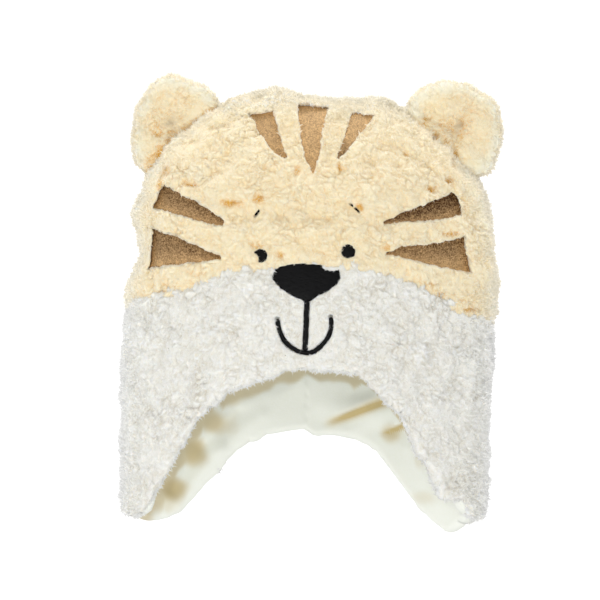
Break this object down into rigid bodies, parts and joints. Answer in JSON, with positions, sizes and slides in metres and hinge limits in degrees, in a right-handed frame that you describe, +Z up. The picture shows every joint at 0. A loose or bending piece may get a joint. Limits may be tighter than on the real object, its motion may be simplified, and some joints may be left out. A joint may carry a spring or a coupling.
{
  "type": "child's fleece tiger hat with ear flaps",
  "caption": "Square-topped sherpa fleece hat with round ears, long ear flaps, a smooth lining and an embroidered tiger's face.",
  "frame": {"origin": "inside top of the crown, where the top of a head touches the lining", "axes": "+Z up, the face looks towards -Y, +X to the viewer's right as the viewer faces the hat"},
  "size_m": [0.2224, 0.125, 0.2671],
  "materials": {
    "cream_sherpa": "curly cream sherpa fleece pile",
    "white_sherpa": "curly white sherpa fleece pile",
    "lining_fleece": "smooth short-nap pale yellow fleece",
    "brown_thread": "flat fill stitches in brown thread",
    "black_thread": "satin stitches in black thread"
  },
  "bodies": {
    "root": {"face_panel": "cream_sherpa", "muzzle_panel": "white_sherpa", "back_crown_panel": "cream_sherpa", "back_lower_panel": "white_sherpa", "lining_left": "lining_fleece", "lining_right": "lining_fleece", "ear_left": "cream_sherpa", "ear_right": "cream_sherpa", "forehead_stripe_left": "brown_thread", "forehead_stripe_centre": "brown_thread", "forehead_stripe_right": "brown_thread", "cheek_stripe_upper_left": "brown_thread", "cheek_stripe_lower_left": "brown_thread", "cheek_stripe_upper_right": "brown_thread", "cheek_stripe_lower_right": "brown_thread", "eye_left": "black_thread", "eye_right": "black_thread", "brow_left": "black_thread", "brow_right": "black_thread", "nose": "black_thread", "mouth": "black_thread"}
  },
  "joints": []
}
